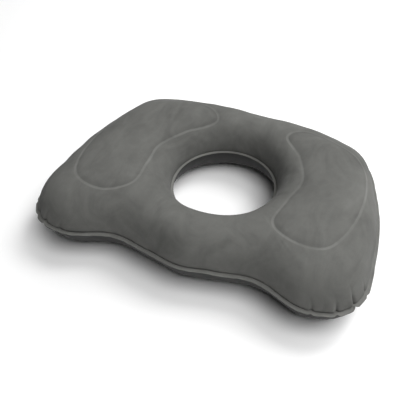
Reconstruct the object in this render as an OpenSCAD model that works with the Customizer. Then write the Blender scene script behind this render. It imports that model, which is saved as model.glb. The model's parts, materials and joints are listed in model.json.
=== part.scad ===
// Inflatable seat cushion with a round opening, two thigh lobes and a low front pommel.
// A flocked upper PVC sheet and a plain lower one are welded together round the rim and round the opening.
// Inside, two closed tension bands tie the sheets together under the thighs.
// A push-in valve with a tethered plug sits in the lower sheet at the back.
// Millimetres, +Z up, +Y towards the back. The origin is the middle of the footprint,
// on the plane that the cushion rests on.

/* [Cushion] */
// Width between the side seams
cushion_w = 440; // [400:5:480]
// Depth between the back seam and the front seam
cushion_d = 290; // [270:5:320]
// Height of the welded seam above the seat
seam_z = 48.5; // [44:0.5:52]
// Inflated height above the seam where the span is nominal
crown_h = 46.8; // [42:0.2:50]
// Radius of the welded seam round the opening
hole_r = 72.5; // [66:0.5:78]
// Distance of the opening's centre behind the middle of the footprint
hole_y = 6; // [0:1:10]
// How far the thigh recesses are cut back from the front of the lobes
recess_depth = 18; // [8:1:24]
// How far the pommel's front stops short of the front of the lobes
pommel_back = 3; // [0:1:8]

/* [Sheets and seams] */
// Thickness of one sheet
sheet_t = 0.8; // [0.5:0.1:1.2]
// Width of the weld flange round the rim
rim_flange_w = 6; // [4:0.5:9]
// Width of the weld flange round the opening
hole_flange_w = 3.5; // [2:0.5:5]
// Width of each tension band's weld foot
foot_w = 8; // [5:0.5:12]
// Thickness of a tension band
band_t = 0.6; // [0.4:0.1:1]
// Half height of each air vent slot in a tension band
vent_r = 4; // [3:0.5:5]
// Number of air vents in each tension band
vent_count = 8; // [8:1:12]

/* [Valve] */
// Angle of the valve's axis below the horizontal
valve_tilt = 31; // [31:1:31]
// Radius of the valve's weld disc
disc_r = 11; // [10:0.5:11]
// Radius of the hole in the sheet and of the skirt's mouth
skirt_r = 8; // [7.5:0.5:8.5]
// Outer radius of the stem
stem_r = 4.6; // [4.2:0.1:5]
// Radius of the stem's air bore
bore_r = 3.3; // [3:0.1:3.5]
// Length of the stem below its collar
stem_l = 17; // [15:1:20]

/* [Hidden] */

half_w = cushion_w / 2;
half_d = cushion_d / 2;
nominal_span = 110;     // distance from the opening to the rim at which the crown is crown_h
span_gain = 0.28;       // how much a wider span lifts the crown
crown_power = 2.26;     // 2 is an elliptical section, more is flatter on top
rim_steps = 4;          // mesh stations between two outline points
cross_steps = 12;       // mesh rows between the opening and the rim
band_steps = 4;         // mesh stations between two tension band points

// Right half of the seam, from the middle of the back to the middle of the front.
rim_right = [
    [0, half_d],
    [0.282 * half_w, half_d - 2],
    [0.578 * half_w, half_d - 11],
    [0.777 * half_w, 0.76 * half_d],
    [0.888 * half_w, 0.387 * half_d],
    [0.955 * half_w, 0.007 * half_d],
    [0.985 * half_w, -0.359 * half_d],
    [0.991 * half_w, -0.69 * half_d],
    [0.902 * half_w, -0.928 * half_d],
    [0.705 * half_w, -half_d],
    [0.441 * half_w, recess_depth - half_d],
    [0.191 * half_w, pommel_back + 7 - half_d],
    [0, pommel_back - half_d]
];

// Tension bands, each from its narrow end beside the back edge, clockwise on the right side.
// Each point is a share of the half width, away from the middle, and a share of the half depth.
// The left band's narrow end reaches further in than the right one's.
band_right = [
    [0.275, 0.625], [0.386, 0.768], [0.6, 0.693], [0.795, 0.51], [0.855, 0.145], [0.84, -0.3],
    [0.755, -0.61], [0.582, -0.638], [0.43, -0.5], [0.447, -0.195], [0.482, 0.076], [0.402, 0.386]
];
band_left = [
    [0.197, 0.63], [0.35, 0.8], [0.6, 0.72], [0.79, 0.52], [0.85, 0.145], [0.84, -0.303],
    [0.757, -0.615], [0.575, -0.68], [0.423, -0.51], [0.43, -0.2], [0.437, 0.076], [0.345, 0.37]
];

// ---- curves ----
function mirrored_closed(half) = concat(half, [for (i = [len(half) - 2 : -1 : 1]) [-half[i][0], half[i][1]]]);

function catmull(a, b, c, d, t) =
    0.5 * (2 * b + (c - a) * t + (2 * a - 5 * b + 4 * c - d) * t * t + (3 * b - a - 3 * c + d) * t * t * t);

function closed_curve(p, steps) = let (n = len(p)) [
    for (i = [0 : n - 1], k = [0 : steps - 1])
        catmull(p[(i + n - 1) % n], p[i], p[(i + 1) % n], p[(i + 2) % n], k / steps)
];

// Unit normal of a clockwise closed curve, pointing outwards.
function outward(curve, i) =
    let (n = len(curve), d = curve[(i + 1) % n] - curve[(i + n - 1) % n])
    [-d[1], d[0]] / norm(d);

// ---- inflated height ----
rim = closed_curve(mirrored_closed(rim_right), rim_steps);
hole_c = [0, hole_y];

// Share of one straight seam segment, which runs from s1 to s2 past a point at distance d:
// the integral of 1 / (d^2 + s^2)^(5/2).
function seam_share(d2, s1, s2) = seam_part(d2, s2) - seam_part(d2, s1);
function seam_part(d2, s) = let (q = d2 + s * s) s / sqrt(q) * (1 / (3 * d2 * q) + 2 / (3 * d2 * d2));

function seam_pull(p, a, b) =
    let (u = (b - a) / norm(b - a), s = (a - p) * u, across = cross2(a - p, u))
    seam_share(across * across + 0.01, s, s + norm(b - a));

function cross2(a, b) = a[0] * b[1] - a[1] * b[0];
function total(v) = [for (x = v) 1] * v;

// Distance to the rim, rounded off inside corners: exact beside a straight seam.
function rim_gap(p) = let (n = len(rim))
    pow(4 / 3 / total([for (i = [0 : n - 1]) seam_pull(p, rim[i], rim[(i + 1) % n])]), 0.25);

function hole_gap(p) = max(0, norm(p - hole_c) - hole_r);

// Height of the sheet above the seam at a point inside the rim.
function crown(p) = let (a = rim_gap(p), b = hole_gap(p))
    crown_h * pow((a + b) / nominal_span, span_gain)
    * pow(max(0, 1 - pow(abs(a - b) / (a + b), crown_power)), 1 / crown_power);

// ---- valve place: a flat seat on the lower sheet's back flank ----
valve_at = [0, half_d - 7.2, seam_z - 25.2];
valve_out = [0, cos(valve_tilt), -sin(valve_tilt)];
valve_down = [0, -sin(valve_tilt), -cos(valve_tilt)];
seat_half = [17, 12.5];         // half width and half height of the flat seat
seat_fade = [32, 20];           // where the seat has faded into the flank
seat_near = [10, 22];           // distance off the seat's plane that it acts on, and where it has faded

function fade(x, from, to) = let (t = min(1, max(0, (x - from) / (to - from)))) 1 - t * t * (3 - 2 * t);

// Moves a point of the lower sheet onto the valve seat's plane, lift above that plane.
// The wall of the opening, behind the seat, stays where it is.
function seated(p, lift) =
    let (v = p - valve_at,
         off = v * valve_out - lift,
         w = fade(abs(v[0]), seat_half[0], seat_fade[0])
             * fade(abs(v * valve_down), seat_half[1], seat_fade[1])
             * fade(abs(off), seat_near[0], seat_near[1]))
    p - valve_out * off * w;

module at_valve() {
    translate(valve_at) rotate([-90 - valve_tilt, 0, 0]) children();
}

// ---- a closed band swept round a closed loop: rings[i] is the section at station i ----
module closed_sweep(rings) {
    n = len(rings);
    m = len(rings[0]);
    points = [for (r = rings, p = r) p];
    faces = [for (i = [0 : n - 1], j = [0 : m - 1])
        let (a = i * m + j, b = i * m + (j + 1) % m, c = (i + 1) % n * m + (j + 1) % m, d = (i + 1) % n * m + j)
        each [[a, b, c], [a, c, d]]];
    polyhedron(points, faces, convexity = 6);
}

// ---- sheets ----
function cross(j) = 0.5 - 0.5 * cos(180 * j / cross_steps);

// One station's spoke: where it meets the opening's seam and the rim, with the ways outwards.
function spoke(i) = let (b = rim[i], u = (b - hole_c) / norm(b - hole_c))
    [hole_c + u * hole_r, b, u, outward(rim, i)];

spokes = [for (i = [0 : len(rim) - 1]) spoke(i)];
crowns = [for (s = spokes) [for (j = [0 : cross_steps])
    j == 0 || j == cross_steps ? 0 : crown(s[0] + (s[1] - s[0]) * cross(j))]];

function with_z(p, z) = [p[0], p[1], z];
function upper_z(h) = seam_z + h;
function lower_z(h, least) = max(least, seam_z - h);

// Section of a sheet: outer face from the opening's flange to the rim flange, then back inside.
function sheet_section(i, upper) =
    let (s = spokes[i], h = crowns[i], t = sheet_t,
         in_a = s[0] + s[2] * t, in_b = s[1] - s[3] * t,
         z_face = upper ? seam_z + t : seam_z - t,
         tip_a = s[0] - s[2] * hole_flange_w, tip_b = s[1] + s[3] * rim_flange_w)
    concat(
        [with_z(tip_a, z_face)],
        [for (j = [0 : cross_steps]) let (p = s[0] + (s[1] - s[0]) * cross(j), k = max(h[j], t))
            upper ? with_z(p, upper_z(k)) : seated(with_z(p, lower_z(k, 0)), 0)],
        [with_z(tip_b, z_face), with_z(tip_b, seam_z)],
        [for (j = [cross_steps : -1 : 0]) let (p = in_a + (in_b - in_a) * cross(j), k = max(h[j] - t, 0))
            upper ? with_z(p, upper_z(k)) : seated(with_z(p, lower_z(k, t)), -t)],
        [with_z(tip_a, seam_z)]
    );

function reversed(v) = [for (i = [len(v) - 1 : -1 : 0]) v[i]];

module top_panel() {
    color("dimgray")
        closed_sweep([for (i = [0 : len(rim) - 1]) sheet_section(i, true)]);
}

module bottom_panel() {
    color([0.27, 0.27, 0.265]) difference() {
        closed_sweep([for (i = [0 : len(rim) - 1]) reversed(sheet_section(i, false))]);
        at_valve() cylinder(h = 12, r = skirt_r, center = true, $fn = 64);
    }
}

// ---- tension bands: an I section from the upper sheet to the lower sheet ----
weld_gap = sheet_t + 0.8;       // from the sheet's outer face to the face of a weld foot
foot_margin = 2.5;              // how far to the sides the foot allows for the sheet's slope

// Height of a weld foot's face above the seam at a point p across the band, whose way out is n.
function foot_h(p, n) = min(crown(p - n * foot_margin), crown(p + n * foot_margin)) - weld_gap;

// Corners of the section: place across the band (0 to 3), 1 for the upper foot, steps of band_t.
band_corners = [[0, 1, 0], [1, 1, 0], [2, 1, 0], [3, 1, 0], [3, 1, -1], [2, 1, -1], [2, 0, 1], [3, 0, 1],
                [3, 0, 0], [2, 0, 0], [1, 0, 0], [0, 0, 0], [0, 0, 1], [1, 0, 1], [1, 1, -1], [0, 1, -1]];

function band_section(curve, i) =
    let (n = outward(curve, i),
         q = [for (x = [-foot_w / 2, -band_t / 2, band_t / 2, foot_w / 2]) curve[i] + n * x],
         h = [for (p = q) foot_h(p, n)],
         z = [[for (x = h) max(weld_gap, seam_z - x)], [for (x = h) seam_z + x]])
    [for (c = band_corners) with_z(q[c[0]], z[c[1]][c[0]] + c[2] * band_t)];

// A slot through the wall at one station of a band's curve.
module vent(curve, i) {
    n = outward(curve, i);
    translate(with_z(curve[i], seam_z)) rotate([0, 0, atan2(n[1], n[0])]) hull()
        for (y = [-vent_r, vent_r])
            translate([0, y, 0]) rotate([0, 90, 0]) cylinder(h = foot_w, r = vent_r, center = true, $fn = 24);
}

module tension_band(side) {
    shares = side > 0 ? band_right : reversed(band_left);
    curve = closed_curve([for (p = shares) [side * p[0] * half_w, p[1] * half_d]], band_steps);
    color("gray") difference() {
        closed_sweep([for (i = [0 : len(curve) - 1]) band_section(curve, i)]);
        for (k = [0 : vent_count - 1]) vent(curve, floor((k + 0.5) * len(curve) / vent_count));
    }
}

// ---- valve, in its own frame: z = 0 is the sheet's outer face, +z points out ----
disc_t = 1;
disc_chamfer = 0.5;
disc_bore_r = skirt_r - 1;
collar_z = 1.6;                 // underside of the stem's collar with the stem pushed in
collar_t = 1.6;
collar_r = stem_r + 1.2;
shoulder_z = -9;                // where the skirt meets the stem
shoulder_t = 1;
shoulder_r = stem_r + 0.8;
skirt_t = 0.6;
fit_gap = 0.05;                 // clearance between moving valve pieces
stem_end = collar_z - stem_l;
end_wall_t = 1.2;               // the stem's inner end, which the flap closes on
flap_seat_r = 2.4;
flap_t = 0.7;
flap_r = stem_r - 0.9;
flap_tab_w = 2.4;
hinge_x = -9;                   // strap hinge, to one side of the stem
hinge_z = collar_z + collar_t + 0.1;
plug_disc_r = 6;
plug_disc_t = 1.3;
plug_taper = [[0, 0.1], [-1, 0.2], [-2, 0.35], [-3, 0.6]];    // height and clearance down the boss
strap_w = 4;
strap_t = 0.9;
strap_l = -hinge_x - plug_disc_r + 0.6;
lug_t = 1;                      // tab on the collar that the strap is hinged to
finger_tab_l = 2.5;
finger_tab_t = 1;
cut_over = 3;                   // how far a cut runs past the solid it cuts

module valve_disc() {
    color("silver") at_valve() rotate_extrude($fn = 64)
        polygon([[disc_bore_r, 0], [disc_r, 0], [disc_r, disc_t - disc_chamfer],
                 [disc_r - disc_chamfer, disc_t], [disc_bore_r, disc_t]]);
}

module valve_skirt() {
    top_r = disc_bore_r - fit_gap;
    low_r = stem_r + fit_gap;
    color("gainsboro") at_valve() rotate_extrude($fn = 64)
        polygon([[top_r, disc_t], [top_r - skirt_t, disc_t], [low_r, shoulder_z + skirt_t],
                 [low_r, shoulder_z], [shoulder_r, shoulder_z], [top_r, -1]]);
}

module valve_stem() {
    top = collar_z + collar_t;
    color("gainsboro") at_valve() difference() {
        union() {
            translate([0, 0, stem_end]) cylinder(h = top - stem_end, r = stem_r, $fn = 64);
            translate([0, 0, collar_z]) cylinder(h = collar_t, r = collar_r, $fn = 64);
            translate([0, 0, shoulder_z - fit_gap - shoulder_t])
                cylinder(h = shoulder_t, r = shoulder_r, $fn = 64);
            translate([hinge_x, -strap_w / 2, collar_z]) cube([-hinge_x, strap_w, lug_t]);
        }
        translate([0, 0, stem_end + end_wall_t]) cylinder(h = top - stem_end, r = bore_r, $fn = 64);
        translate([0, 0, stem_end - cut_over]) cylinder(h = 2 * cut_over, r = flap_seat_r, $fn = 64);
    }
}

module valve_flap() {
    color("whitesmoke") at_valve() translate([0, 0, stem_end - fit_gap - flap_t]) {
        cylinder(h = flap_t, r = flap_r, $fn = 48);
        translate([-stem_r, -flap_tab_w / 2, 0]) cube([stem_r, flap_tab_w, flap_t]);
    }
}

module valve_strap() {
    color("gainsboro") at_valve()
        translate([hinge_x, -strap_w / 2, hinge_z]) cube([strap_l, strap_w, strap_t]);
}

module valve_plug() {
    color("gainsboro") at_valve() difference() {
        union() {
            translate([0, 0, hinge_z]) cylinder(h = plug_disc_t, r = plug_disc_r, $fn = 64);
            translate([0, 0, hinge_z]) rotate_extrude($fn = 64) polygon(concat(
                [[0, plug_disc_t / 2], [bore_r - plug_taper[0][1], plug_disc_t / 2]],
                [for (k = plug_taper) [bore_r - k[1], k[0]]],
                [[0, plug_taper[3][0]]]));
            translate([0, -strap_w / 2, hinge_z]) cube([plug_disc_r + finger_tab_l, strap_w, finger_tab_t]);
        }
        translate([hinge_x, -strap_w / 2, hinge_z - cut_over]) cube([strap_l, strap_w, 2 * cut_over]);
    }
}

top_panel();
bottom_panel();
tension_band(-1);  // left_tension_band
tension_band(1);  // right_tension_band
valve_disc();
valve_skirt();
valve_stem();
valve_flap();
valve_strap();
valve_plug();
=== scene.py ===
"""Inflatable PVC seat cushion with a round opening, two thigh lobes and a low front pommel.

A flocked upper sheet and a plain lower one are welded round the rim and round the opening, and along two
kidney-shaped lines to the tension bands inside. A push-in valve with a tethered plug sits in the lower
sheet at the back.
Metres throughout, in the frame's axes: +X right, +Y back, +Z up, resting on z = 0.
"""
import json
import math

import bpy
import bmesh
import numpy as np
from mathutils import Matrix, Vector
from mathutils.bvhtree import BVHTree


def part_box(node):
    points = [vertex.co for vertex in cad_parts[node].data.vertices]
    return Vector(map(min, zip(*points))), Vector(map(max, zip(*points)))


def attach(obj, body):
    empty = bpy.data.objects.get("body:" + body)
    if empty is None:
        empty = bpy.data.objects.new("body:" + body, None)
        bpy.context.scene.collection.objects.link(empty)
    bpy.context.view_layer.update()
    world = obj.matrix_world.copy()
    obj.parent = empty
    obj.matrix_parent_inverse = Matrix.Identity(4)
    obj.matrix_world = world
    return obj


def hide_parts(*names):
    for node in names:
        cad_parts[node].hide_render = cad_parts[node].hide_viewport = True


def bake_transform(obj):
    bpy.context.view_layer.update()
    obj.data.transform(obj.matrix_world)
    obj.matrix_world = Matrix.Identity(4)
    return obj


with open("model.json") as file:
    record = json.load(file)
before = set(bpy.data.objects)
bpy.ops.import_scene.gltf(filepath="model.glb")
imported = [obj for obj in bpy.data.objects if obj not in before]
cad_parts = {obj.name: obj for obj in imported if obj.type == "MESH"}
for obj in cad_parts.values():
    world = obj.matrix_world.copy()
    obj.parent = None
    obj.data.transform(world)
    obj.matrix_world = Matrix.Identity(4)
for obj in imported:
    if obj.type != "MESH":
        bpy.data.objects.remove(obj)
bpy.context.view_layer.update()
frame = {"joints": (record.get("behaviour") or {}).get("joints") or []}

MM = 0.001

# ---- sizes, in step with the frame ----
SHEET_T = 0.8 * MM
RIM_FLANGE = 6 * MM
HOLE_R = 72.5 * MM
HOLE_C = np.array([0, 6 * MM])
HALF_W = 220 * MM
HALF_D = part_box("top_panel")[1].y - RIM_FLANGE
SEAM_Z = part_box("top_panel")[0].z

CROWN_H = 46.8 * MM      # inflated height above the seam at the nominal span
NOMINAL_SPAN = 110 * MM
SPAN_GAIN = 0.28
CROWN_POWER = 2.26

STATIONS = 900           # mesh columns round the cushion, closer together at the puckers
CROSS_ROWS = 162         # mesh rows from the opening's seam to the rim seam
ROW_CROWDING = 0.4       # how much closer the rows lie at both seams

# Share of the half width and half depth plus an offset in mm: the right half of the rim seam,
# from the middle of the back to the middle of the front.
RIM_RIGHT = [
    (0, 1, 0), (0.282, 1, -2), (0.578, 1, -11), (0.777, 0.76, 0), (0.888, 0.387, 0), (0.955, 0.007, 0),
    (0.985, -0.359, 0), (0.991, -0.69, 0), (0.902, -0.928, 0), (0.705, -1, 0), (0.441, -1, 18),
    (0.191, -1, 10), (0, -1, 3),
]
# Kidney weld lines, as shares of the half width, away from the middle, and of the half depth.
BAND_RIGHT = [
    (0.275, 0.625), (0.386, 0.768), (0.6, 0.693), (0.795, 0.51), (0.855, 0.145), (0.84, -0.3),
    (0.755, -0.61), (0.582, -0.638), (0.43, -0.5), (0.447, -0.195), (0.482, 0.076), (0.402, 0.386),
]
BAND_LEFT = [
    (0.197, 0.63), (0.35, 0.8), (0.6, 0.72), (0.79, 0.52), (0.85, 0.145), (0.84, -0.303),
    (0.757, -0.615), (0.575, -0.68), (0.423, -0.51), (0.43, -0.2), (0.437, 0.076), (0.345, 0.37),
]
# Puckers at the front corners: place along the rim in outline points, depth in mm, length in mm.
PUCKERS = [
    (6.95, 2.4, 10), (7.5, 4.4, 16), (8.08, 3.4, 10), (8.72, 2.2, 6),
    (16.68, 3.2, 18), (16.15, 3.0, 14), (15.72, 2.4, 10), (15.2, 1.2, 8),
]
PUCKER_SPREAD = 1.2 * MM  # half width of a pucker at the seam
PUCKER_REACH = 9 * MM     # how far to each side of a pucker the mesh columns are crowded


# ---- curves and heights ----
def rim_points():
    right = [(x * HALF_W, y * HALF_D + d * MM) for x, y, d in RIM_RIGHT]
    return np.array(right + [(-x, y) for x, y in right[-2:0:-1]])


def band_points(side):
    """Kidney line on one side, clockwise seen from above: side is 1 on the right, -1 on the left."""
    shares = BAND_RIGHT if side > 0 else BAND_LEFT[::-1]
    return np.array([(side * x * HALF_W, y * HALF_D) for x, y in shares])


def spline(points, u):
    """Closed Catmull-Rom curve through points, at places u counted in points."""
    n = len(points)
    i = np.floor(u).astype(int)
    t = (u - i)[:, None]
    a, b, c, d = (points[(i + k) % n] for k in (-1, 0, 1, 2))
    return 0.5 * (2 * b + (c - a) * t + (2 * a - 5 * b + 4 * c - d) * t**2 + (3 * b - a - 3 * c + d) * t**3)


def arc_table(points, fine=40):
    """Places along a closed curve and the arc length at each."""
    u = np.linspace(0, len(points), len(points) * fine + 1)
    steps = np.linalg.norm(np.diff(spline(points, u), axis=0), axis=1)
    return u, np.concatenate([[0], np.cumsum(steps)])


def even_places(points, count, crowded=()):
    """Places along a closed curve, evenly spaced but three times as close round the crowded places."""
    u, arc = arc_table(points)
    weight = np.ones(len(arc))
    for at in crowded:
        weight += 2 * np.exp(-((arc - np.interp(at, u, arc)) / PUCKER_REACH) ** 2)
    share = np.concatenate([[0], np.cumsum(np.diff(arc) * (weight[1:] + weight[:-1]) / 2)])
    return np.interp(np.arange(count) / count * share[-1], share, u)


def outward(points, u):
    """Unit normals of a clockwise closed curve, pointing outwards."""
    d = spline(points, u + 0.02) - spline(points, u - 0.02)
    return np.stack([-d[:, 1], d[:, 0]], 1) / np.linalg.norm(d, axis=1)[:, None]


def in_blocks(function, p, block=3000):
    """function of the points p, worked out a block at a time."""
    return np.concatenate([function(p[i:i + block]) for i in range(0, len(p), block)])


RIM = rim_points()
RIM_POLY = spline(RIM, np.arange(0, len(RIM), 1 / 10))


BESIDE_SEAM = (1 * MM, 6 * MM)


def rim_gap(p):
    """Distance to the rim, rounded off inside corners: exact beside a straight seam."""
    a = RIM_POLY
    edge = np.roll(RIM_POLY, -1, 0) - a
    length = np.linalg.norm(edge, axis=1)
    along = edge / length[:, None]

    def part(d2, s):
        q = d2 + s * s
        return s / np.sqrt(q) * (1 / (3 * d2 * q) + 2 / (3 * d2 * d2))

    def gap(block):
        v = a[None] - block[:, None]
        s = (v * along).sum(2)
        d2 = (v[..., 0] * along[:, 1] - v[..., 1] * along[:, 0]) ** 2 + (0.1 * MM) ** 2
        pull = (part(d2, s + length) - part(d2, s)).sum(1)
        return (4 / 3 / np.maximum(pull, 1e-9)) ** 0.25

    return in_blocks(gap, p)


def line_gap(p, curve):
    """Distance from each point to a closed polyline, negative inside it."""
    after = np.roll(curve, -1, 0)
    edge = after - curve
    size = (edge**2).sum(1)

    def gap(block):
        v = block[:, None] - curve[None]
        t = np.clip((v * edge).sum(2) / size, 0, 1)
        away = np.sqrt(((v - edge * t[..., None]) ** 2).sum(2).min(1))
        spans = (curve[:, 1] > block[:, 1, None]) != (after[:, 1] > block[:, 1, None])
        left_of = v[..., 0] * edge[:, 1] - v[..., 1] * edge[:, 0]
        crossed = spans & ((left_of < 0) == (edge[:, 1] > 0))
        return np.where(crossed.sum(1) % 2 == 1, -away, away)

    return in_blocks(gap, p)


def crown(p, beside):
    """Height of the sheet above the seam at points inside the rim.

    beside is each point's distance from the stretch of seam next to it, which is exact close to the seam,
    where the crown is so steep that rim_gap's rounding would leave a step.
    """
    a = rim_gap(p)
    a += (beside - a) * fade(beside, *BESIDE_SEAM)
    b = np.maximum(np.linalg.norm(p - HOLE_C, axis=1) - HOLE_R, 0)
    bow = np.maximum(1 - np.abs((a - b) / (a + b)) ** CROWN_POWER, 0) ** (1 / CROWN_POWER)
    return CROWN_H * ((a + b) / NOMINAL_SPAN) ** SPAN_GAIN * bow


def cross_shares():
    """Shares of the way across at which the rows lie: even along a nominal arch, closer at the seams."""
    x = 0.5 - 0.5 * np.cos(np.linspace(0, np.pi, 4001))
    height = CROWN_H / NOMINAL_SPAN * (1 - np.abs(1 - 2 * x) ** CROWN_POWER) ** (1 / CROWN_POWER)
    arc = np.concatenate([[0], np.cumsum(np.hypot(np.diff(x), np.diff(height)))])
    t = np.arange(CROSS_ROWS + 1) / CROSS_ROWS
    t = t - ROW_CROWDING * np.sin(math.tau * t) / math.tau
    return np.interp(t * arc[-1], arc, x)


def fade(x, start, end):
    """1 before start, 0 after end, smooth between them."""
    t = np.clip((x - start) / (end - start), 0, 1)
    return 1 - t * t * (3 - 2 * t)


def ripple(p, seed, size, waves=14):
    """Smooth random field of about unit height, with bumps of about the given size."""
    rng = np.random.default_rng(seed)
    turn = rng.uniform(0, math.tau, (2, waves))
    k = math.tau / (size * rng.uniform(0.7, 1.6, waves))
    phase = p[..., 0, None] * k * np.cos(turn[0]) + p[..., 1, None] * k * np.sin(turn[0]) + turn[1]
    return np.sin(phase).sum(-1) / math.sqrt(waves / 2)


# ---- the valve's own frame: +Z out of the sheet, at the sheet's outer face ----
slide = next(j for j in frame["joints"] if j["name"] == "valve_pull_out")
VALVE_OUT = Vector(slide["axis"]).normalized()
DISC_T = 1 * MM
disc_lo, disc_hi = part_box("valve_disc")
VALVE_AT = (disc_lo + disc_hi) / 2 - VALVE_OUT * DISC_T / 2
VALVE_DOWN = Vector((1, 0, 0)).cross(-VALVE_OUT)
valve_axes = Matrix((Vector((1, 0, 0)), VALVE_DOWN, VALVE_OUT)).transposed()
TO_VALVE = Matrix.Translation(VALVE_AT) @ valve_axes.to_4x4()
VALVE_HOLE_R = 9 * MM
# The valve's flat seat takes all of the sheet within the first distance, and none past the second.
SEAT_ACROSS = (17 * MM, 32 * MM)
SEAT_DOWN = (12.5 * MM, 20 * MM)
SEAT_NEAR = (10 * MM, 22 * MM)   # off the seat's plane


# ---- meshes ----
def mesh_piece(name, verts, faces):
    mesh = bpy.data.meshes.new(name)
    mesh.from_pydata([tuple(v) for v in verts], [], faces)
    mesh.validate()
    mesh.update()
    piece = bpy.data.objects.new(name, mesh)
    bpy.context.collection.objects.link(piece)
    return piece


def piece_of(name, bm):
    """The piece that a bmesh describes; the bmesh is freed."""
    mesh = bpy.data.meshes.new(name)
    bm.to_mesh(mesh)
    bm.free()
    piece = bpy.data.objects.new(name, mesh)
    bpy.context.collection.objects.link(piece)
    return piece


def smooth(piece, angle=40):
    piece.data.shade_smooth()
    piece.data.set_sharp_from_angle(angle=math.radians(angle))
    return piece


def grid_faces(columns, rows, flip=False):
    """Quads of a grid closed round its columns, with vertices numbered column by column."""
    i, j = np.meshgrid(np.arange(columns), np.arange(rows - 1), indexing="ij")
    k = (i + 1) % columns
    quad = np.stack([i * rows + j, i * rows + j + 1, k * rows + j + 1, k * rows + j], -1).reshape(-1, 4)
    return (quad[:, ::-1] if flip else quad).tolist()


def grid_normals(grid):
    """Unit normals of a grid that is closed round its first axis, upwards on the crown."""
    round_it = np.roll(grid, -1, 0) - np.roll(grid, 1, 0)
    across = np.gradient(grid, axis=1)
    n = np.cross(across, round_it)
    n /= np.maximum(np.linalg.norm(n, axis=2, keepdims=True), 1e-12)
    return n * np.sign(n[:, n.shape[1] // 2, 2])[:, None, None]


def set_value(piece, name, values):
    attribute = piece.data.attributes.new(name, "FLOAT", "POINT")
    attribute.data.foreach_set("value", np.asarray(values, np.float32).reshape(-1))


def apply_modifiers(piece):
    deps = bpy.context.evaluated_depsgraph_get()
    mesh = bpy.data.meshes.new_from_object(piece.evaluated_get(deps))
    old = piece.data
    piece.modifiers.clear()
    piece.data = mesh
    mesh.name = piece.name
    bpy.data.meshes.remove(old)


def boolean(piece, other, operation):
    """Joins, cuts or intersects piece with other, and removes other."""
    step = piece.modifiers.new("boolean", "BOOLEAN")
    step.operation = operation
    step.solver = "MANIFOLD"
    step.object = other
    apply_modifiers(piece)
    bpy.data.objects.remove(other)


def thicken(piece, thickness, offset):
    solid = piece.modifiers.new("thickness", "SOLIDIFY")
    solid.thickness = thickness
    solid.offset = offset
    solid.use_even_offset = False
    apply_modifiers(piece)


def round_edges(piece, width):
    bevel = piece.modifiers.new("round", "BEVEL")
    bevel.width = width
    bevel.segments = 2
    bevel.limit_method = "ANGLE"
    bevel.angle_limit = math.radians(35)
    apply_modifiers(piece)
    return smooth(piece, 35)


def cut_round(piece, centre, axis, radius):
    """Removes the faces of a piece within a radius of an axis."""
    bm = bmesh.new()
    bm.from_mesh(piece.data)
    doomed = []
    for f in bm.faces:
        v = f.calc_center_median() - centre
        if v.length < 2 * radius and (v - axis * v.dot(axis)).length < radius:
            doomed.append(f)
    bmesh.ops.delete(bm, geom=doomed, context="FACES")
    bm.to_mesh(piece.data)
    bm.free()


# ---- the two sheets ----
SEAM_STEP = 4 * MM       # height over which the sheet's own thickness at the seam fades out


class Layout:
    """What both sheets share: where their stations and rows lie, and distances measured on the sheet."""

    def __init__(self):
        self.place = even_places(RIM, STATIONS, [at for at, _, _ in PUCKERS])
        self.seam = spline(RIM, self.place)
        self.out = outward(RIM, self.place)
        self.hub_way = (self.seam - HOLE_C) / np.linalg.norm(self.seam - HOLE_C, axis=1)[:, None]
        self.hub = HOLE_C + self.hub_way * HOLE_R
        shares = cross_shares()
        self.flat = self.hub[:, None] + (self.seam - self.hub)[:, None] * shares[None, :, None]
        height = np.zeros(self.flat.shape[:2])
        across = ((self.seam - self.hub) * self.out).sum(1)
        beside = across[:, None] * (1 - shares)
        inside = self.flat[:, 1:-1].reshape(-1, 2)
        height[:, 1:-1] = crown(inside, beside[:, 1:-1].reshape(-1)).reshape(STATIONS, -1)
        height += SHEET_T * np.exp(-height / SEAM_STEP)
        self.dome = np.concatenate([self.flat, height[..., None]], 2)
        self.normal = grid_normals(self.dome)
        step = np.linalg.norm(np.diff(self.dome, axis=1), axis=2)
        start = np.zeros((STATIONS, 1))
        self.rim_way = np.concatenate([np.cumsum(step[:, ::-1], 1)[:, ::-1], start], 1)
        self.hole_way = np.concatenate([start, np.cumsum(step, 1)], 1)
        points = self.flat.reshape(-1, 2)
        lines = np.array([line_gap(points, kidney_line(side)) for side in (1, -1)])
        nearest = np.abs(lines).argmin(0)
        flat_way = np.take_along_axis(lines, nearest[None], 0)[0].reshape(STATIONS, -1)
        self.line_way = flat_way / np.clip(self.normal[..., 2], 0.35, 1)


def kidney_line(side, fine=24):
    return spline(band_points(side), np.arange(0, len(BAND_RIGHT), 1 / fine))


def puckers(layout):
    """Each pucker: every station's distance from it along the rim, its depth and its length, in metres."""
    u, arc = arc_table(RIM)
    s = np.interp(layout.place, u, arc)
    for at, depth, length in PUCKERS:
        yield s - np.interp(at, u, arc), depth * MM, length * MM


def pucker_field(layout):
    """How far the sheet is pinched in at each point: a sharp crease with a ridge along one side.

    The pinch starts from nothing at the seam, which has its own scallops.
    """
    gap = layout.rim_way
    pinch = np.zeros(gap.shape)
    for x, depth, length in puckers(layout):
        x = x[:, None]
        spread = PUCKER_SPREAD * (1 + 0.8 * gap / length)
        steep = np.where(x > 0, 0.8, 1.7) * spread
        ridge = np.exp(-((x - 1.6 * spread) / (2.6 * spread)) ** 2)
        fold = np.exp(-np.abs(x) / steep) - 0.42 * ridge
        pinch += depth * fold * np.exp(-(gap / length) ** 1.8)
    return pinch * (1 - np.exp(-gap / (2.5 * MM)))


def scallops(layout):
    """How far the seam is drawn in at each station: a notch at each pucker, a bulge to its sides."""
    drawn = np.zeros(STATIONS)
    for x, depth, _ in puckers(layout):
        drawn += depth * (np.exp(-(x / (2.6 * MM)) ** 2) - 0.35 * np.exp(-(x / (9 * MM)) ** 2))
    return drawn


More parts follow.
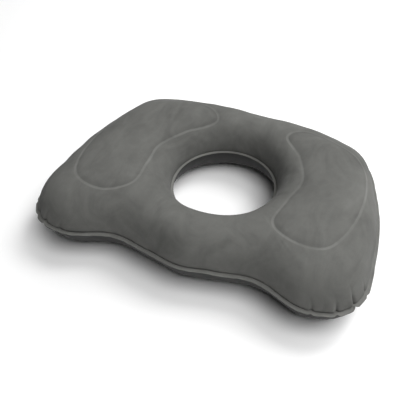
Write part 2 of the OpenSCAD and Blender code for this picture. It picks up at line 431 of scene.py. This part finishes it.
def evened(field, passes):
    """A grid's field smoothed by repeated averaging with its neighbours, held at both seams."""
    field = field.copy()
    for _ in range(passes):
        field = (np.roll(field, 1, 0) + 2 * field + np.roll(field, -1, 0)) / 4
        field[:, 1:-1] = (field[:, :-2] + 2 * field[:, 1:-1] + field[:, 2:]) / 4
        field[:, 0] = 0
        field[:, -1] = 0
    return field


CLOTH_STEP = 3           # the cloth is simulated on every third column and row
CLOTH_FRAMES = 14
CLOTH_CAP = 0.5 * MM     # how far the simulation may move a point of the finished sheet
CLOTH_HELD = 2.2 * MM    # how far from a kidney line the cloth is held


def cloth_folds(layout, dome):
    """Small folds that pressure raises in a sheet that is welded along its seams and kidney lines.

    The sheet is a little larger than its welds allow, as flocked PVC film is once it has stretched.
    Its even swelling is taken out again, so that only the folds are left.
    """
    coarse = dome[::CLOTH_STEP, ::CLOTH_STEP]
    rows = coarse.shape[1]
    start = coarse.reshape(-1, 3)
    piece = mesh_piece("cloth_sheet", start, grid_faces(len(coarse), rows, flip=True))
    welded = np.abs(layout.line_way[::CLOTH_STEP, ::CLOTH_STEP]) < CLOTH_HELD
    welded[:, 0] = True
    welded[:, -1] = True
    held = piece.vertex_groups.new(name="welded")
    held.add(np.flatnonzero(welded.reshape(-1)).tolist(), 1.0, "REPLACE")
    cloth = piece.modifiers.new("cloth", "CLOTH")
    cloth.settings.vertex_group_mass = "welded"
    cloth.settings.quality = 5
    cloth.settings.mass = 0.2
    cloth.settings.tension_stiffness = 25
    cloth.settings.compression_stiffness = 25
    cloth.settings.shear_stiffness = 10
    cloth.settings.bending_stiffness = 0.4
    cloth.settings.use_pressure = True
    cloth.settings.uniform_pressure_force = 4
    cloth.settings.shrink_min = -0.006
    cloth.settings.effector_weights.gravity = 0
    cloth.collision_settings.use_collision = False
    cloth.point_cache.frame_end = CLOTH_FRAMES
    scene = bpy.context.scene
    for number in range(1, CLOTH_FRAMES + 1):
        scene.frame_set(number)
    apply_modifiers(piece)
    moved = np.empty(start.size)
    piece.data.vertices.foreach_get("co", moved)
    bpy.data.objects.remove(piece)
    scene.frame_set(1)
    shift = (moved.reshape(-1, 3) - start).reshape(coarse.shape)
    print("cloth moved up to", round(float(np.linalg.norm(shift, axis=2).max()) / MM, 2), "mm")
    folds = evened(shift, 2) - evened(shift, 40)
    size = np.linalg.norm(folds, axis=2, keepdims=True)
    folds *= CLOTH_CAP * np.tanh(size / CLOTH_CAP) / np.maximum(size, 1e-9)
    return upsampled(folds, dome.shape[:2])


def upsampled(field, shape):
    """A coarse grid's field on the fine grid: round the columns, then along the rows."""
    columns = np.arange(shape[0]) / CLOTH_STEP
    i = np.floor(columns).astype(int)
    t = (columns - i)[:, None, None]
    wide = field[i] * (1 - t) + field[(i + 1) % len(field)] * t
    rows = np.arange(shape[1]) / CLOTH_STEP
    j = np.minimum(np.floor(rows).astype(int), field.shape[1] - 2)
    t = (rows - j)[None, :, None]
    return wide[:, j] * (1 - t) + wide[:, j + 1] * t


WELD_HALF = 1.7 * MM     # half width of a kidney weld
ROLL_OVER = 1.5 * MM     # how far the sheet bulges over its rim flange
# Mesh rows of the flanges, in mm from their seams to their free edges.
RIM_ROWS = (0.4, 1.2, 2.2, 2.9, 3.3, 3.7, 4.4, 5.2, 5.8, 6.0)
HOLE_ROWS = (0.3, 1.1, 2.2, 3.3, 3.5)


def panel_grid(layout, side):
    """Outer face of one sheet, from the opening's flange to the rim flange: side is 1 above, -1 below."""
    dome, normal = layout.dome, layout.normal
    line, rim_way = layout.line_way, layout.rim_way

    # Kidney welds: a pressed line, with the sheet drawn down to it, most on the inner side.
    band = 1 / (1 + (line / WELD_HALF) ** 4)
    valley = np.exp(-((line / MM + 2.5) / 6) ** 2)
    dip = 0.25 * band + 0.75 * valley

    # Uneven fullness, held at both seams.
    held = 1 - np.exp(-(np.minimum(rim_way, layout.hole_way) / (25 * MM)) ** 2)
    broad = ripple(layout.flat, 3 + side, 90 * MM)
    narrow = ripple(layout.flat, 9 + side, 38 * MM)
    uneven = held * (0.35 * broad + 0.1 * narrow)
    shaped = dome - normal * ((dip - uneven) * MM)[..., None]
    shaped = shaped + cloth_folds(layout, shaped)

    # Corner puckers, and the roll of the sheet over its flange.
    out = layout.out[:, None]
    shaped = shaped - normal * pucker_field(layout)[..., None]
    notch = scallops(layout)
    pull = 0.6 * notch[:, None] * np.exp(-(rim_way / (14 * MM)) ** 2)
    over = ROLL_OVER * (rim_way / (3 * MM)) * np.exp(1 - rim_way / (3 * MM))
    shaped[..., :2] += out * (over - pull)[..., None]
    shaped[..., 2] = np.maximum(shaped[..., 2], SHEET_T)

    # Weld flanges, a little wavy towards their free edges.
    wave = 0.5 * ripple(layout.seam, 21, 45 * MM) + 0.25 * ripple(layout.seam, 22, 14 * MM)
    kink = notch / MM
    rim_rows = []
    for far in RIM_ROWS:
        bead = 0.25 * math.exp(-((far - 3.3) / 0.5) ** 2)
        lift = (wave + 0.35 * kink) * (far / RIM_ROWS[-1]) ** 1.5 * MM + (SHEET_T - bead * MM) * side
        rim_rows.append(np.concatenate([shaped[:, -1, :2] + layout.out * far * MM, lift[:, None]], 1))
    hole_rows = []
    for far in reversed(HOLE_ROWS):
        lift = 0.3 * ripple(layout.hub, 31, 60 * MM) * (far / HOLE_ROWS[-1]) * MM + SHEET_T * side
        hole_rows.append(np.concatenate([layout.hub - layout.hub_way * far * MM, lift[:, None]], 1))

    shaped[..., 2] *= side
    grid = np.concatenate([np.stack(hole_rows, 1), shaped, np.stack(rim_rows, 1)], 1)
    grid[..., 2] += SEAM_Z
    if side < 0:
        grid = on_the_floor(seated(grid))
    flanges = ((0, 0), (len(hole_rows), len(rim_rows)))
    line_mm = np.pad(line / MM, flanges, constant_values=99)
    edge_mm = np.pad(np.minimum(rim_way, layout.hole_way) / MM, flanges, constant_values=-3)
    return grid, line_mm, edge_mm


def seated(grid):
    """Flattens the lower sheet round the valve, and leaves the opening's wall behind it as it is."""
    out, down = np.array(VALVE_OUT), np.array(VALVE_DOWN)
    v = grid - np.array(VALVE_AT)
    off = v @ out
    w = fade(np.abs(v[..., 0]), *SEAT_ACROSS)
    w = w * fade(np.abs(v @ down), *SEAT_DOWN) * fade(np.abs(off), *SEAT_NEAR)
    return grid - (w * off)[..., None] * out


def on_the_floor(grid, soft=0.4 * MM):
    """Flattens the lower sheet where it rests."""
    grid = grid.copy()
    z = grid[..., 2]
    grid[..., 2] = (z + np.sqrt(z * z + 4 * soft * soft)) / 2
    return grid


def make_panel(layout, name, side, node):
    """One sheet, and a tree of its outer face for the tension bands to end on."""
    grid, line_mm, edge_mm = panel_grid(layout, side)
    points = grid.reshape(-1, 3)
    faces = grid_faces(STATIONS, grid.shape[1], flip=side > 0)
    piece = mesh_piece(name, points, faces)
    set_value(piece, "weld_line", line_mm)
    set_value(piece, "edge", edge_mm)
    if side < 0:
        cut_round(piece, VALVE_AT, VALVE_OUT, VALVE_HOLE_R)
    thicken(piece, SHEET_T, -1)
    smooth(piece, 50)
    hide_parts(node)
    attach(piece, "cushion")
    return piece, BVHTree.FromPolygons(points.tolist(), faces)


# ---- tension bands: a wall between two weld feet that lie on the sheets ----
BAND_T = 0.6 * MM
FOOT_HALF = 4 * MM
FOOT_PLACES = (-1, -0.5, 0, 0.5, 1)
WELD_FILM = 0.06 * MM    # left between a foot and its sheet
WALL_ROWS = 16
BAND_STATIONS = 280
VENTS = 8
VENT_R = 4 * MM


def foot_points(tree, at, normal, way):
    """Points across a weld foot, on the inner face of the sheet above (way 1) or below (way -1)."""
    rows = []
    for share in FOOT_PLACES:
        p = at + normal * (share * FOOT_HALF)
        hit, face_normal, _, _ = tree.ray_cast(Vector((p[0], p[1], SEAM_Z)), Vector((0, 0, way)))
        inward = -face_normal if face_normal.z * way > 0 else face_normal
        rows.append((hit, hit + inward * (SHEET_T + WELD_FILM), inward))
    return rows


def band_section(upper, lower, at, normal):
    """Closed section of a band: over the upper foot, down one face of the wall, and back up."""
    top = foot_points(upper, at, normal, 1)
    low = foot_points(lower, at, normal, -1)
    half = np.append(normal, 0) * BAND_T / 2
    under_top = [inner + inward * BAND_T for _, inner, inward in top]
    over_low = [inner + inward * BAND_T for _, inner, inward in low]
    high, deep = np.array(under_top[2]), np.array(over_low[2])
    shares = np.linspace(0, 1, WALL_ROWS)[:, None]
    wall = high + (deep - high) * shares
    section = [inner for _, inner, _ in top]
    section += [under_top[4], under_top[3]]
    section += [w + half for w in wall]
    section += [over_low[3], over_low[4]]
    section += [inner for _, inner, _ in reversed(low)]
    section += [over_low[0], over_low[1]]
    section += [w - half for w in wall[::-1]]
    section += [under_top[1], under_top[0]]
    return [tuple(p) for p in section]


def vent_cutter(curve, normals):
    """Upright slots through the wall, as one mesh."""
    verts, faces = [], []
    sides = 24
    for k in range(VENTS):
        i = int((k + 0.5) * len(curve) / VENTS)
        n = np.append(normals[i], 0)
        along = np.array([-n[1], n[0], 0])
        first = len(verts)
        for way in (-1, 1):
            for s in range(sides):
                a = math.tau * (s + 0.5) / sides
                stretch = math.copysign(VENT_R, math.cos(a))
                p = np.array([*curve[i], SEAM_Z]) + n * way * FOOT_HALF
                rise = np.array([0, 0, VENT_R * math.sin(a)])
                verts.append(p + along * (VENT_R * math.cos(a) + stretch) + rise)
        for s in range(sides):
            t = (s + 1) % sides
            faces.append([first + s, first + t, first + sides + t, first + sides + s])
        faces.append([first + s for s in reversed(range(sides))])
        faces.append([first + sides + s for s in range(sides)])
    return mesh_piece("vent_cutter", verts, faces)


def outward_faces(piece):
    bm = bmesh.new()
    bm.from_mesh(piece.data)
    bmesh.ops.recalc_face_normals(bm, faces=bm.faces)
    bm.to_mesh(piece.data)
    bm.free()
    return piece


def make_band(name, side, upper, lower, node):
    points = band_points(side)
    place = even_places(points, BAND_STATIONS)
    curve, normals = spline(points, place), outward(points, place)
    rings = [band_section(upper, lower, c, n) for c, n in zip(curve, normals)]
    size = len(rings[0])
    faces = []
    for i in range(BAND_STATIONS):
        k = (i + 1) % BAND_STATIONS
        for j in range(size):
            t = (j + 1) % size
            faces.append([i * size + j, i * size + t, k * size + t, k * size + j])
    piece = outward_faces(mesh_piece(name, [p for ring in rings for p in ring], faces))
    boolean(piece, outward_faces(vent_cutter(curve, normals)), "DIFFERENCE")
    smooth(piece, 40)
    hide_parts(node)
    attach(piece, "cushion")
    return piece


# ---- valve: profiles are (radius, height) in mm, in the valve's own frame ----
def lathe(name, profile, closed=True, steps=72):
    bm = bmesh.new()
    ring = [bm.verts.new((r * MM, 0, z * MM)) for r, z in profile]
    pairs = list(zip(ring, ring[1:])) + ([(ring[-1], ring[0])] if closed else [])
    edges = [bm.edges.new(pair) for pair in pairs]
    bmesh.ops.spin(bm, geom=ring + edges, cent=(0, 0, 0), axis=(0, 0, 1), angle=math.tau, steps=steps)
    bmesh.ops.remove_doubles(bm, verts=bm.verts, dist=0.001 * MM)
    bmesh.ops.recalc_face_normals(bm, faces=bm.faces)
    return piece_of(name, bm)


def block(name, low, high):
    """A box between two corners in mm."""
    bm = bmesh.new()
    bmesh.ops.create_cube(bm, size=1)
    for v in bm.verts:
        v.co = Vector([(a + b) / 2 + c * (b - a) for a, b, c in zip(low, high, v.co)]) * MM
    return piece_of(name, bm)


def finish_valve_piece(piece, node, body=None, edge=0.15):
    """Rounds a valve piece's edges, puts it in place and lets it stand for its node."""
    round_edges(piece, edge * MM)
    piece.data.transform(TO_VALVE)
    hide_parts(node)
    if body:
        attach(piece, body)
    return piece


def make_valve_disc():
    piece = lathe("weld_disc", [
        (7, 0), (11, 0), (11, 0.4), (10.8, 0.6), (10.1, 0.6), (9.9, 0.85), (9.3, 0.85), (9.1, 0.6),
        (8.7, 0.6), (8.4, 1), (7.2, 1), (7, 0.8),
    ])
    return finish_valve_piece(piece, "valve_disc", "cushion", 0.08)


def make_valve_skirt():
    """The rolling skirt: fixed to the disc at its mouth, and to the stem at its foot."""
    steps = 14
    inner = [(6.35 - 1.7 * k / steps, 1 - 9.4 * k / steps) for k in range(steps + 1)]
    outer = [(5.45 + 1.5 * k / steps, -9 + 8 * k / steps) for k in range(steps + 1)]
    piece = lathe("rolling_skirt", inner + [(4.65, -9)] + outer + [(6.95, 1)])
    finish_valve_piece(piece, "valve_skirt", None, 0.05)
    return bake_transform(piece)


def make_valve_stem():
    piece = lathe("stem", [
        (2.4, -15.4), (4.3, -15.4), (4.6, -15.1), (4.6, -10.05), (5.2, -10.05), (5.2, -9.05),
        (4.6, -9.05), (4.6, 1.6), (5.8, 1.6), (5.8, 2.1), (5.6, 2.3), (5.6, 2.5),
        (5.8, 2.7), (5.8, 2.9), (5.5, 3.2),
        (3.6, 3.2), (3.3, 2.9), (3.3, -14.2), (2.4, -14.2),
    ])
    boolean(piece, block("lug", (-9, -2, 1.65), (-4.1, 2, 2.6)), "UNION")
    return finish_valve_piece(piece, "valve_stem", "valve_stem", 0.12)


def make_valve_plug():
    piece = lathe("plug", [
        (0, 4.25), (3.2, 4.25), (4, 4.6), (5.6, 4.6), (6, 4.3), (6, 3.6), (5.8, 3.32), (3.2, 3.32),
        (3.2, 2.9), (3.1, 2.3), (3.02, 1.9), (2.95, 1.3), (2.7, 0.3), (2.3, 0.3), (2.1, 0.7), (0, 0.7),
    ], closed=False)
    boolean(piece, block("finger_tab", (4.5, -2, 3.35), (8.4, 2, 4.2)), "UNION")
    for x in (6.8, 7.4, 8.0):
        boolean(piece, block("rib", (x - 0.12, -1.7, 4), (x + 0.12, 1.7, 4.4)), "UNION")
    boolean(piece, block("notch", (-9, -2.05, 2.5), (-5.35, 2.05, 6)), "DIFFERENCE")
    return finish_valve_piece(piece, "valve_plug", "valve_plug", 0.1)


def make_valve_strap():
    """The tether: from the stem's lug round a thin living hinge to the plug."""
    turns = 14
    middle = [(-8.95, 2.1, 0.3)]
    for k in range(turns + 1):
        a = math.pi * k / turns
        half = 0.24 + 0.06 * math.cos(2 * a)
        middle.append((-9 - 0.8 * math.sin(a), 2.925 - 0.825 * math.cos(a), half))
    middle += [(-8.4, 3.75, 0.43), (-7, 3.75, 0.43), (-5.42, 3.75, 0.43)]
    path = np.array(middle)
    way = np.gradient(path[:, :2], axis=0)
    way /= np.linalg.norm(way, axis=1)[:, None]
    side = np.stack([-way[:, 1], way[:, 0]], 1) * path[:, 2:]
    outline = np.concatenate([path[:, :2] + side, (path[:, :2] - side)[::-1]])
    n = len(outline)
    verts = [Vector((x, y, z)) * MM for y in (-1.95, 1.95) for x, z in outline]
    half = n // 2
    faces = [[k, (k + 1) % n, n + (k + 1) % n, n + k] for k in range(n)]
    for k in range(half - 1):
        pair = [k, k + 1, n - 2 - k, n - 1 - k]
        faces.append(pair[::-1])
        faces.append([n + v for v in pair])
    piece = outward_faces(mesh_piece("strap", verts, faces))
    finish_valve_piece(piece, "valve_strap", None, 0.06)
    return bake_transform(piece)


def make_valve_flap():
    piece = lathe("flap", [
        (0, -16.15), (3.5, -16.15), (3.7, -16), (3.7, -15.6), (3.55, -15.46), (0, -15.46),
    ], closed=False)
    boolean(piece, block("flap_tab", (-4.6, -1.2, -16.1), (-3, 1.2, -15.5)), "UNION")
    return finish_valve_piece(piece, "valve_flap", "valve_flap", 0.05)


# ---- materials ----
def new_material(name):
    material = bpy.data.materials.new(name)
    material.use_nodes = True
    nodes = material.node_tree.nodes
    return material, nodes, material.node_tree.links, nodes["Principled BSDF"]


def noise(nodes, links, scale, detail=3.0, rough=0.5, distortion=0.0, stretch=(1, 1, 1)):
    """Noise in the object's own coordinates; returns its 0 to 1 output."""
    place = nodes.new("ShaderNodeTexCoord")
    spread = nodes.new("ShaderNodeMapping")
    spread.inputs["Scale"].default_value = stretch
    tex = nodes.new("ShaderNodeTexNoise")
    tex.inputs["Scale"].default_value = scale
    tex.inputs["Detail"].default_value = detail
    tex.inputs["Roughness"].default_value = rough
    tex.inputs["Distortion"].default_value = distortion
    links.new(place.outputs["Object"], spread.inputs["Vector"])
    links.new(spread.outputs["Vector"], tex.inputs["Vector"])
    return tex.outputs["Fac"]


def maths(nodes, links, kind, a, b, c=None):
    node = nodes.new("ShaderNodeMath")
    node.operation = kind
    for socket, value in zip(node.inputs, (a, b, c)):
        if value is None:
            continue
        if isinstance(value, (int, float)):
            socket.default_value = value
        else:
            links.new(value, socket)
    return node.outputs[0]


def ramp(nodes, links, value, low, high, start=0.0, end=1.0):
    """start where value is at most low, end where it is at least high, smooth between."""
    node = nodes.new("ShaderNodeMapRange")
    node.interpolation_type = "SMOOTHSTEP"
    for name, number in (("From Min", low), ("From Max", high), ("To Min", start), ("To Max", end)):
        node.inputs[name].default_value = number
    links.new(value, node.inputs["Value"])
    return node.outputs["Result"]


def attribute(nodes, name):
    node = nodes.new("ShaderNodeAttribute")
    node.attribute_name = name
    return node.outputs["Fac"]


def tinted(nodes, links, colour, tone):
    """colour times tone, for a shader's base colour."""
    mix = nodes.new("ShaderNodeMix")
    mix.data_type = "RGBA"
    mix.blend_type = "MULTIPLY"
    mix.inputs["Factor"].default_value = 1
    mix.inputs["A"].default_value = (*colour, 1)
    links.new(tone, mix.inputs["B"])
    return mix.outputs["Result"]


def layered(nodes, links, tone, layers):
    """tone plus each layer times its weight."""
    for layer, weight in layers:
        tone = maths(nodes, links, "MULTIPLY_ADD", layer, weight, tone)
    return tone


def add_bump(nodes, links, shader, height, strength, distance):
    bump = nodes.new("ShaderNodeBump")
    bump.inputs["Strength"].default_value = strength
    bump.inputs["Distance"].default_value = distance
    links.new(height, bump.inputs["Height"])
    links.new(bump.outputs["Normal"], shader.inputs["Normal"])


FLOCK_COLOUR = (0.106, 0.1065, 0.1005)
# The lower sheet's dark grey is partly its plain PVC and partly painted shade, set as dark as the shaded
# band under the rim flange.
BASE_COLOUR = (0.034, 0.034, 0.0335)


def flock_material():
    """Short dense flock: brushed smears, fine grain, paler pressed welds, painted shade at seams and kidney
    welds, painted light on flanges.
    """
    material, nodes, links, shader = new_material("flocked_pvc")
    patches = noise(nodes, links, 9, 2, 0.5, 0.5)
    brushed = noise(nodes, links, 26, 3, 0.6, 1.6, (1, 0.45, 1))
    mottle = noise(nodes, links, 110, 2, 0.6)
    grain = noise(nodes, links, 900, 2, 0.7)
    fibre = noise(nodes, links, 2600, 1, 0.5)
    line = attribute(nodes, "weld_line")
    line = maths(nodes, links, "MULTIPLY_ADD", maths(nodes, links, "ADD", mottle, -0.5), 0.9, line)
    off_line = maths(nodes, links, "ABSOLUTE", line, 0)
    pressed = ramp(nodes, links, off_line, 0.9, 2.4, 1, 0)
    worn = ramp(nodes, links, noise(nodes, links, 16, 2), 0.38, 0.6, 0.35, 1)
    # Painted shade: the sheet just inside each kidney weld is darkened, standing in for the shade on the
    # groove's inner wall.
    fading_in = ramp(nodes, links, line, -9, -2.5)
    fading_out = ramp(nodes, links, line, -2.5, -0.8, 1, 0)
    inner = maths(nodes, links, "MULTIPLY", fading_in, fading_out)
    edge = attribute(nodes, "edge")
    # Painted light: the flange strip is painted paler, standing in for the light on its upward face.
    flange = ramp(nodes, links, edge, -1.5, 0.3, 1, 0)
    # Painted shade: the sheet is darkened within 5 mm of both seams, in the crease where it rises from its
    # flange.
    crease = maths(nodes, links, "SUBTRACT", ramp(nodes, links, edge, 0, 5, 1, 0), flange)
    weld = maths(nodes, links, "MULTIPLY", pressed, worn)
    tone = layered(nodes, links, 0.32, [
        (patches, 0.46), (brushed, 0.60), (mottle, 0.18), (grain, 0.14),
        (weld, 0.30), (inner, -0.10), (flange, 0.35), (crease, -0.20),
    ])
    links.new(tinted(nodes, links, FLOCK_COLOUR, tone), shader.inputs["Base Color"])
    rough = maths(nodes, links, "MULTIPLY_ADD", pressed, -0.12, 0.92)
    links.new(rough, shader.inputs["Roughness"])
    shader.inputs["Specular IOR Level"].default_value = 0.1
    shader.inputs["Sheen Weight"].default_value = 0.04
    shader.inputs["Sheen Roughness"].default_value = 0.55
    nap = maths(nodes, links, "MULTIPLY_ADD", fibre, 0.5, grain)
    add_bump(nodes, links, shader, nap, 0.25, 0.25 * MM)
    return material


def base_material():
    """Plain PVC of the lower sheet: darker than the flock, partly as painted shade, semi-matte, faintly
    clouded.
    """
    material, nodes, links, shader = new_material("plain_pvc")
    cloud = noise(nodes, links, 14, 3, 0.5, 0.6)
    mottle = noise(nodes, links, 120, 2, 0.6)
    grain = noise(nodes, links, 1500, 2, 0.6)
    off_line = maths(nodes, links, "ABSOLUTE", attribute(nodes, "weld_line"), 0)
    pressed = ramp(nodes, links, off_line, 0.9, 2.4, 1, 0)
    # Painted light: the flange strip is painted paler, standing in for the light on its upward face.
    flange = ramp(nodes, links, attribute(nodes, "edge"), -1.5, 0.3, 1, 0)
    tone = layered(nodes, links, 0.80, [
        (cloud, 0.24), (mottle, 0.10), (grain, 0.06), (pressed, 0.25), (flange, 0.15),
    ])
    links.new(tinted(nodes, links, BASE_COLOUR, tone), shader.inputs["Base Color"])
    rough = maths(nodes, links, "MULTIPLY_ADD", grain, 0.14, 0.55)
    links.new(maths(nodes, links, "MULTIPLY_ADD", pressed, -0.12, rough), shader.inputs["Roughness"])
    shader.inputs["Specular IOR Level"].default_value = 0.25
    add_bump(nodes, links, shader, grain, 0.2, 0.08 * MM)
    return material


def vinyl_material(name, colour, roughness):
    """Soft moulded vinyl with faint clouding and a fine moulded grain."""
    material, nodes, links, shader = new_material(name)
    cloud = noise(nodes, links, 180, 3, 0.5, 0.4)
    tone = maths(nodes, links, "MULTIPLY_ADD", cloud, 0.12, 0.94)
    links.new(tinted(nodes, links, colour, tone), shader.inputs["Base Color"])
    rough = maths(nodes, links, "MULTIPLY_ADD", noise(nodes, links, 700, 2), 0.16, roughness - 0.08)
    links.new(rough, shader.inputs["Roughness"])
    shader.inputs["Specular IOR Level"].default_value = 0.45
    shader.inputs["Subsurface Weight"].default_value = 0.15
    shader.inputs["Subsurface Radius"].default_value = (0.002, 0.002, 0.002)
    add_bump(nodes, links, shader, noise(nodes, links, 2200, 2), 0.12, 0.05 * MM)
    return material


def paint(piece, material):
    piece.data.materials.clear()
    piece.data.materials.append(material)


# ---- camera, light and floor ----
TARGET = Vector((HOLE_C[0], HOLE_C[1], 0))
CAMERA_AZIMUTH = math.radians(22.1)
CAMERA_ELEVATION = math.radians(46.6)
CAMERA_DISTANCE = 0.883
LENS_MM = 53.56
SENSOR_MM = 36
LENS_SHIFT = (-0.038, 0.0065)


def add_camera():
    data = bpy.data.cameras.new("camera")
    data.lens = LENS_MM
    data.sensor_width = SENSOR_MM
    data.shift_x, data.shift_y = LENS_SHIFT
    camera = bpy.data.objects.new("camera", data)
    bpy.context.collection.objects.link(camera)
    level = math.cos(CAMERA_ELEVATION)
    turned = (math.sin(CAMERA_AZIMUTH), -math.cos(CAMERA_AZIMUTH))
    way = Vector((turned[0] * level, turned[1] * level, math.sin(CAMERA_ELEVATION)))
    camera.location = TARGET + way * CAMERA_DISTANCE
    camera.rotation_euler = way.to_track_quat("Z", "Y").to_euler()
    bpy.context.scene.camera = camera


# Soft boxes, placed as seen from the camera: degrees round from the right, degrees up, size in metres,
# watts.
LIGHTS = [
    ("front", 300, 62, 1.6, 36),
    ("key", 30, 60, 0.9, 19),
    ("right", 0, 48, 1.6, 13),
    ("back_right", 45, 40, 1.6, 12),
    ("back", 90, 40, 1.6, 12),
]
LIGHT_DISTANCE = 2.2


def add_soft_box(name, turn, rise, size, power, distance=LIGHT_DISTANCE):
    data = bpy.data.lights.new(name, "AREA")
    data.shape = "DISK"
    data.size = size
    data.energy = power
    light = bpy.data.objects.new(name, data)
    bpy.context.collection.objects.link(light)
    a = math.radians(turn) + CAMERA_AZIMUTH
    e = math.radians(rise)
    way = Vector((math.cos(a) * math.cos(e), math.sin(a) * math.cos(e), math.sin(e)))
    light.location = TARGET + way * distance
    light.rotation_euler = way.to_track_quat("Z", "Y").to_euler()
    return light


def add_stage():
    floor = mesh_piece("floor", [(-4, -4, 0), (4, -4, 0), (4, 4, 0), (-4, 4, 0)], [(0, 1, 2, 3)])
    material, nodes, links, shader = new_material("pale_floor")
    shader.inputs["Base Color"].default_value = (0.9, 0.9, 0.9, 1)
    shader.inputs["Roughness"].default_value = 0.8
    shader.inputs["Specular IOR Level"].default_value = 0.1
    paint(floor, material)
    world = bpy.data.worlds.new("studio")
    world.use_nodes = True
    world.node_tree.nodes["Background"].inputs["Color"].default_value = (1, 1, 1, 1)
    world.node_tree.nodes["Background"].inputs["Strength"].default_value = 0.02
    bpy.context.scene.world = world
    bpy.context.scene.view_settings.view_transform = "Standard"


add_camera()
add_stage()
for light in LIGHTS:
    add_soft_box(*light)

flock = flock_material()
plain_base = base_material()
vinyl = vinyl_material("valve_vinyl", (0.62, 0.63, 0.63), 0.42)
clear_film = vinyl_material("flap_film", (0.74, 0.75, 0.75), 0.3)
band_film = vinyl_material("band_film", (0.16, 0.16, 0.16), 0.5)

shared = Layout()
top, upper_tree = make_panel(shared, "upper_sheet", 1, "top_panel")
bottom, lower_tree = make_panel(shared, "lower_sheet", -1, "bottom_panel")
paint(top, flock)
paint(bottom, plain_base)
for name, side in (("right", 1), ("left", -1)):
    paint(make_band(name + "_band", side, upper_tree, lower_tree, name + "_tension_band"), band_film)
for make in (make_valve_disc, make_valve_skirt, make_valve_stem, make_valve_plug, make_valve_strap):
    paint(make(), vinyl)
paint(make_valve_flap(), clear_film)
